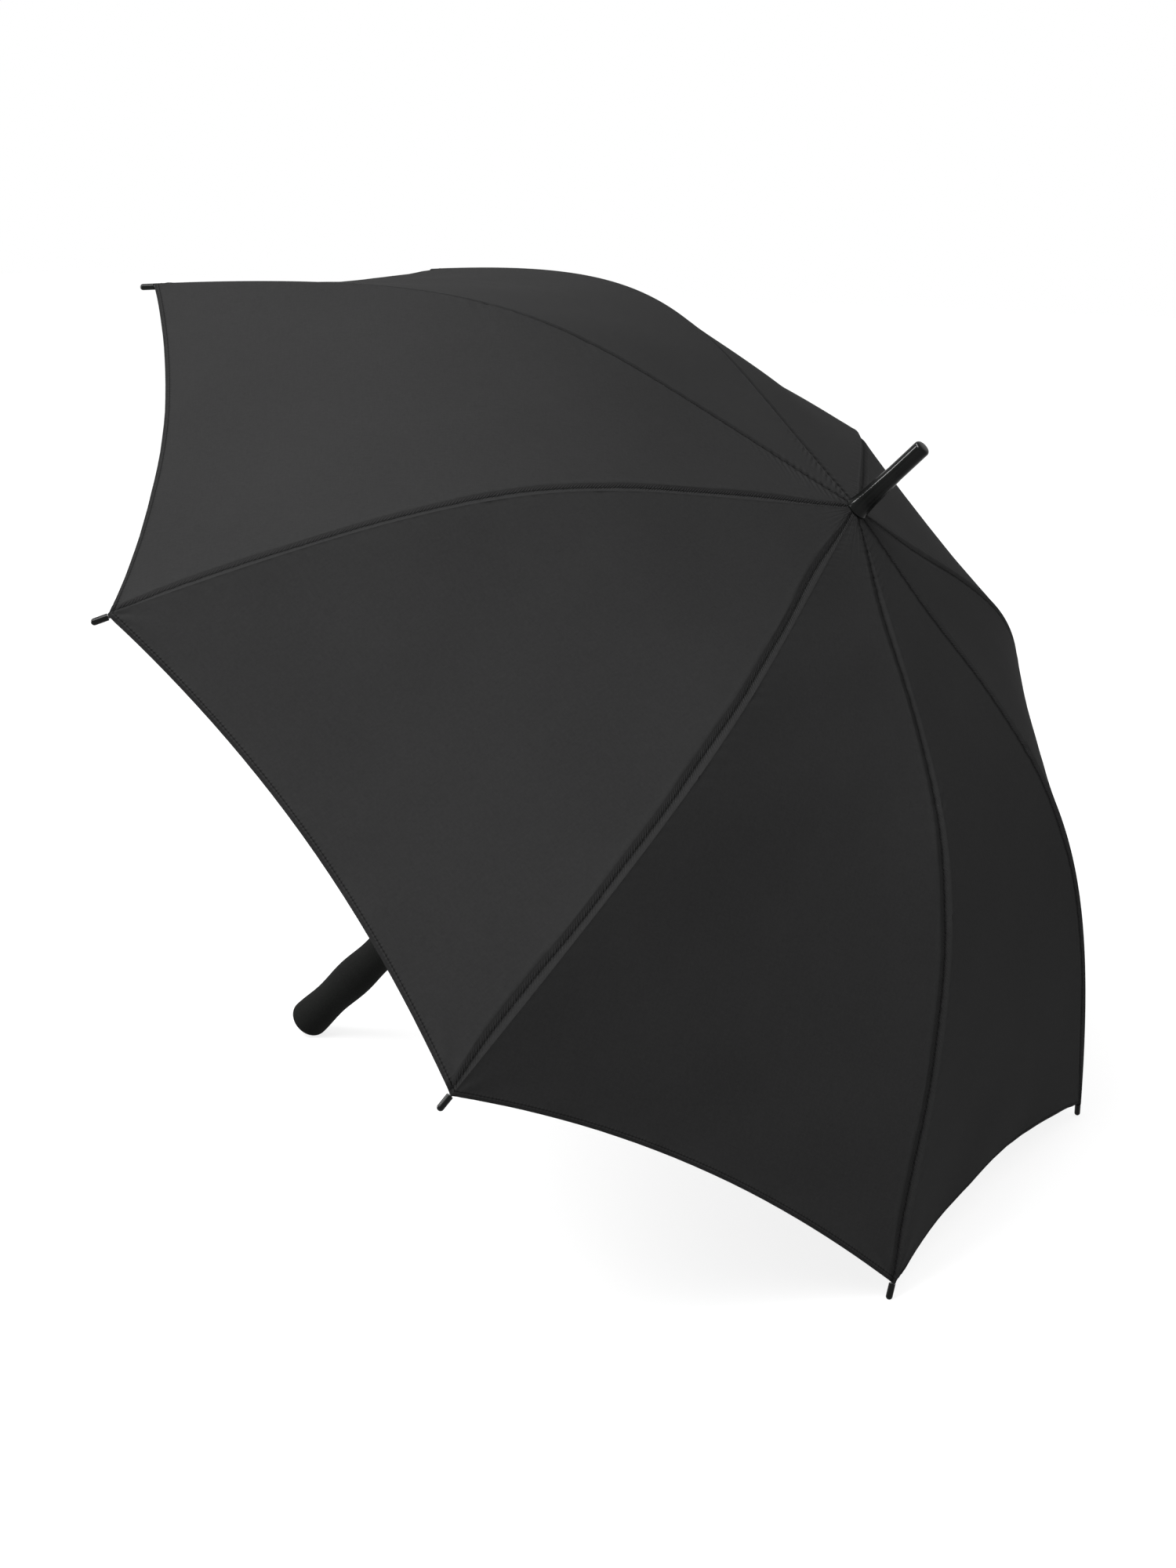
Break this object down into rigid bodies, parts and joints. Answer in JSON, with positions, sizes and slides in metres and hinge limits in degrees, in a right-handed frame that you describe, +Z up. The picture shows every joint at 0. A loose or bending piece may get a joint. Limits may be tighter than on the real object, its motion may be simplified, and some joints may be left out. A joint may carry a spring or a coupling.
{
  "type": "golf umbrella",
  "caption": "Open golf umbrella with a domed cloth canopy, glass-fibre ribs and stretchers, a sliding runner, a black ferrule and a wavy foam grip.",
  "frame": {"origin": "middle of the bounding box on the floor that the open umbrella lies on", "axes": "+Z up; the shaft lies in the XZ plane, with the ferrule towards +X and up and the grip towards -X on the floor; +Y across the canopy"},
  "size_m": [0.8502, 1.1698, 0.8459],
  "materials": {
    "cloth": "fine woven, satin",
    "gloss_black": "polished, moulded",
    "foam": "matte, closed-cell foam",
    "black_plastic": "moulded, matte",
    "fibreglass": "pultruded rod, satin",
    "shaft_paint": "black, satin powder coat",
    "steel": "drawn wire, bright"
  },
  "bodies": {
    "shaft_group": {"shaft": "shaft_paint", "ferrule": "gloss_black", "top_notch": "black_plastic", "notch_wire": "steel", "stop_pin": "steel", "grip": "foam", "grip_core": "black_plastic"},
    "runner_group": {"runner": "black_plastic", "runner_wire": "steel"},
    "top_catch": {"top_catch": "steel"},
    "bottom_catch": {"bottom_catch": "steel"},
    "rib_group_1": {"rib_1": "fibreglass", "joiner_1": "black_plastic", "canopy_panel_1": "cloth"},
    "rib_group_2": {"rib_2": "fibreglass", "joiner_2": "black_plastic", "canopy_panel_2": "cloth"},
    "rib_group_3": {"rib_3": "fibreglass", "joiner_3": "black_plastic", "canopy_panel_3": "cloth"},
    "rib_group_4": {"rib_4": "fibreglass", "joiner_4": "black_plastic", "canopy_panel_4": "cloth"},
    "rib_group_5": {"rib_5": "fibreglass", "joiner_5": "black_plastic", "canopy_panel_5": "cloth"},
    "rib_group_6": {"rib_6": "fibreglass", "joiner_6": "black_plastic", "canopy_panel_6": "cloth"},
    "rib_group_7": {"rib_7": "fibreglass", "joiner_7": "black_plastic", "canopy_panel_7": "cloth"},
    "rib_group_8": {"rib_8": "fibreglass", "joiner_8": "black_plastic", "canopy_panel_8": "cloth"},
    "rib_end_group_1": {"rib_end_1": "fibreglass", "rib_tip_1": "gloss_black"},
    "rib_end_group_2": {"rib_end_2": "fibreglass", "rib_tip_2": "gloss_black"},
    "rib_end_group_3": {"rib_end_3": "fibreglass", "rib_tip_3": "gloss_black"},
    "rib_end_group_4": {"rib_end_4": "fibreglass", "rib_tip_4": "gloss_black"},
    "rib_end_group_5": {"rib_end_5": "fibreglass", "rib_tip_5": "gloss_black"},
    "rib_end_group_6": {"rib_end_6": "fibreglass", "rib_tip_6": "gloss_black"},
    "rib_end_group_7": {"rib_end_7": "fibreglass", "rib_tip_7": "gloss_black"},
    "rib_end_group_8": {"rib_end_8": "fibreglass", "rib_tip_8": "gloss_black"},
    "stretcher_group_1": {"stretcher_1": "fibreglass"},
    "stretcher_group_2": {"stretcher_2": "fibreglass"},
    "stretcher_group_3": {"stretcher_3": "fibreglass"},
    "stretcher_group_4": {"stretcher_4": "fibreglass"},
    "stretcher_group_5": {"stretcher_5": "fibreglass"},
    "stretcher_group_6": {"stretcher_6": "fibreglass"},
    "stretcher_group_7": {"stretcher_7": "fibreglass"},
    "stretcher_group_8": {"stretcher_8": "fibreglass"}
  },
  "joints": [
    {"name": "runner_slide", "type": "slide", "parent": "shaft_group", "child": "runner_group", "axis": [-0.7165, 0, -0.6976], "range_m": [0, 0.33973]},
    {"name": "top_catch_press", "type": "slide", "parent": "shaft_group", "child": "top_catch", "axis": [0.6976, 0, -0.7165], "range_m": [0, 0.0034], "stiffness_N_per_m": 600},
    {"name": "bottom_catch_press", "type": "slide", "parent": "shaft_group", "child": "bottom_catch", "axis": [0.6976, 0, -0.7165], "range_m": [0, 0.0034], "stiffness_N_per_m": 600},
    {"name": "rib_1_hinge", "type": "hinge", "parent": "shaft_group", "child": "rib_group_1", "pos_m": [0.23667, -0.00404, 0.65345], "axis": [0.267, -0.9239, -0.2742], "range_deg": [0, 71.02], "deforming": ["canopy_panel_1"]},
    {"name": "rib_1_bend", "type": "hinge", "parent": "rib_group_1", "child": "rib_end_group_1", "pos_m": [-0.07021, -0.14414, 0.82673], "axis": [-0.267, 0.9239, 0.2742], "range_deg": [0, 20.96]},
    {"name": "stretcher_1_hinge", "type": "hinge", "parent": "rib_group_1", "child": "stretcher_group_1", "pos_m": [0.01391, -0.10871, 0.78925], "axis": [-0.267, 0.9239, 0.2742], "range_deg": [0, 117.43]},
    {"name": "rib_2_hinge", "type": "hinge", "parent": "shaft_group", "child": "rib_group_2", "pos_m": [0.24066, -0.00975, 0.64935], "axis": [0.6445, -0.3827, -0.6619], "range_deg": [0, 71.02], "deforming": ["canopy_panel_2"]},
    {"name": "rib_2_bend", "type": "hinge", "parent": "rib_group_2", "child": "rib_end_group_2", "pos_m": [0.07199, -0.34799, 0.68067], "axis": [-0.6445, 0.3827, 0.6619], "range_deg": [0, 20.96]},
    {"name": "stretcher_2_hinge", "type": "hinge", "parent": "rib_group_2", "child": "stretcher_group_2", "pos_m": [0.12116, -0.26245, 0.6791], "axis": [-0.6445, 0.3827, 0.6619], "range_deg": [0, 117.43]},
    {"name": "rib_3_hinge", "type": "hinge", "parent": "shaft_group", "child": "rib_group_3", "pos_m": [0.24629, -0.00975, 0.64357], "axis": [0.6445, 0.3827, -0.6619], "range_deg": [0, 71.02], "deforming": ["canopy_panel_3"]},
    {"name": "rib_3_bend", "type": "hinge", "parent": "rib_group_3", "child": "rib_end_group_3", "pos_m": [0.2731, -0.34799, 0.47412], "axis": [-0.6445, -0.3827, 0.6619], "range_deg": [0, 20.96]},
    {"name": "stretcher_3_hinge", "type": "hinge", "parent": "rib_group_3", "child": "stretcher_group_3", "pos_m": [0.27284, -0.26245, 0.52332], "axis": [-0.6445, -0.3827, 0.6619], "range_deg": [0, 117.43]},
    {"name": "rib_4_hinge", "type": "hinge", "parent": "shaft_group", "child": "rib_group_4", "pos_m": [0.25028, -0.00404, 0.63947], "axis": [0.267, 0.9239, -0.2742], "range_deg": [0, 71.02], "deforming": ["canopy_panel_4"]},
    {"name": "rib_4_bend", "type": "hinge", "parent": "rib_group_4", "child": "rib_end_group_4", "pos_m": [0.4153, -0.14414, 0.32807], "axis": [-0.267, -0.9239, 0.2742], "range_deg": [0, 20.96]},
    {"name": "stretcher_4_hinge", "type": "hinge", "parent": "rib_group_4", "child": "stretcher_group_4", "pos_m": [0.38009, -0.10871, 0.41316], "axis": [-0.267, -0.9239, 0.2742], "range_deg": [0, 117.43]},
    {"name": "rib_5_hinge", "type": "hinge", "parent": "shaft_group", "child": "rib_group_5", "pos_m": [0.25028, 0.00404, 0.63947], "axis": [-0.267, 0.9239, 0.2742], "range_deg": [0, 71.02], "deforming": ["canopy_panel_5"]},
    {"name": "rib_5_bend", "type": "hinge", "parent": "rib_group_5", "child": "rib_end_group_5", "pos_m": [0.4153, 0.14414, 0.32807], "axis": [0.267, -0.9239, -0.2742], "range_deg": [0, 20.96]},
    {"name": "stretcher_5_hinge", "type": "hinge", "parent": "rib_group_5", "child": "stretcher_group_5", "pos_m": [0.38009, 0.10871, 0.41316], "axis": [0.267, -0.9239, -0.2742], "range_deg": [0, 117.43]},
    {"name": "rib_6_hinge", "type": "hinge", "parent": "shaft_group", "child": "rib_group_6", "pos_m": [0.24629, 0.00975, 0.64357], "axis": [-0.6445, 0.3827, 0.6619], "range_deg": [0, 71.02], "deforming": ["canopy_panel_6"]},
    {"name": "rib_6_bend", "type": "hinge", "parent": "rib_group_6", "child": "rib_end_group_6", "pos_m": [0.2731, 0.34799, 0.47412], "axis": [0.6445, -0.3827, -0.6619], "range_deg": [0, 20.96]},
    {"name": "stretcher_6_hinge", "type": "hinge", "parent": "rib_group_6", "child": "stretcher_group_6", "pos_m": [0.27284, 0.26245, 0.52332], "axis": [0.6445, -0.3827, -0.6619], "range_deg": [0, 117.43]},
    {"name": "rib_7_hinge", "type": "hinge", "parent": "shaft_group", "child": "rib_group_7", "pos_m": [0.24066, 0.00975, 0.64935], "axis": [-0.6445, -0.3827, 0.6619], "range_deg": [0, 71.02], "deforming": ["canopy_panel_7"]},
    {"name": "rib_7_bend", "type": "hinge", "parent": "rib_group_7", "child": "rib_end_group_7", "pos_m": [0.07199, 0.34799, 0.68067], "axis": [0.6445, 0.3827, -0.6619], "range_deg": [0, 20.96]},
    {"name": "stretcher_7_hinge", "type": "hinge", "parent": "rib_group_7", "child": "stretcher_group_7", "pos_m": [0.12116, 0.26245, 0.6791], "axis": [0.6445, 0.3827, -0.6619], "range_deg": [0, 117.43]},
    {"name": "rib_8_hinge", "type": "hinge", "parent": "shaft_group", "child": "rib_group_8", "pos_m": [0.23667, 0.00404, 0.65345], "axis": [-0.267, -0.9239, 0.2742], "range_deg": [0, 71.02], "deforming": ["canopy_panel_8"]},
    {"name": "rib_8_bend", "type": "hinge", "parent": "rib_group_8", "child": "rib_end_group_8", "pos_m": [-0.07021, 0.14414, 0.82673], "axis": [0.267, 0.9239, -0.2742], "range_deg": [0, 20.96]},
    {"name": "stretcher_8_hinge", "type": "hinge", "parent": "rib_group_8", "child": "stretcher_group_8", "pos_m": [0.01391, 0.10871, 0.78925], "axis": [0.267, 0.9239, -0.2742], "range_deg": [0, 117.43]}
  ],
  "couplings": [
    {"joint": "rib_1_hinge", "follows": "runner_slide", "rad_per_m": 3.6486},
    {"joint": "rib_1_bend", "follows": "runner_slide", "rad_per_m": 1.077},
    {"joint": "stretcher_1_hinge", "follows": "runner_slide", "rad_per_m": 6.0326},
    {"joint": "rib_2_hinge", "follows": "runner_slide", "rad_per_m": 3.6486},
    {"joint": "rib_2_bend", "follows": "runner_slide", "rad_per_m": 1.077},
    {"joint": "stretcher_2_hinge", "follows": "runner_slide", "rad_per_m": 6.0326},
    {"joint": "rib_3_hinge", "follows": "runner_slide", "rad_per_m": 3.6486},
    {"joint": "rib_3_bend", "follows": "runner_slide", "rad_per_m": 1.077},
    {"joint": "stretcher_3_hinge", "follows": "runner_slide", "rad_per_m": 6.0326},
    {"joint": "rib_4_hinge", "follows": "runner_slide", "rad_per_m": 3.6486},
    {"joint": "rib_4_bend", "follows": "runner_slide", "rad_per_m": 1.077},
    {"joint": "stretcher_4_hinge", "follows": "runner_slide", "rad_per_m": 6.0326},
    {"joint": "rib_5_hinge", "follows": "runner_slide", "rad_per_m": 3.6486},
    {"joint": "rib_5_bend", "follows": "runner_slide", "rad_per_m": 1.077},
    {"joint": "stretcher_5_hinge", "follows": "runner_slide", "rad_per_m": 6.0326},
    {"joint": "rib_6_hinge", "follows": "runner_slide", "rad_per_m": 3.6486},
    {"joint": "rib_6_bend", "follows": "runner_slide", "rad_per_m": 1.077},
    {"joint": "stretcher_6_hinge", "follows": "runner_slide", "rad_per_m": 6.0326},
    {"joint": "rib_7_hinge", "follows": "runner_slide", "rad_per_m": 3.6486},
    {"joint": "rib_7_bend", "follows": "runner_slide", "rad_per_m": 1.077},
    {"joint": "stretcher_7_hinge", "follows": "runner_slide", "rad_per_m": 6.0326},
    {"joint": "rib_8_hinge", "follows": "runner_slide", "rad_per_m": 3.6486},
    {"joint": "rib_8_bend", "follows": "runner_slide", "rad_per_m": 1.077},
    {"joint": "stretcher_8_hinge", "follows": "runner_slide", "rad_per_m": 6.0326}
  ]
}
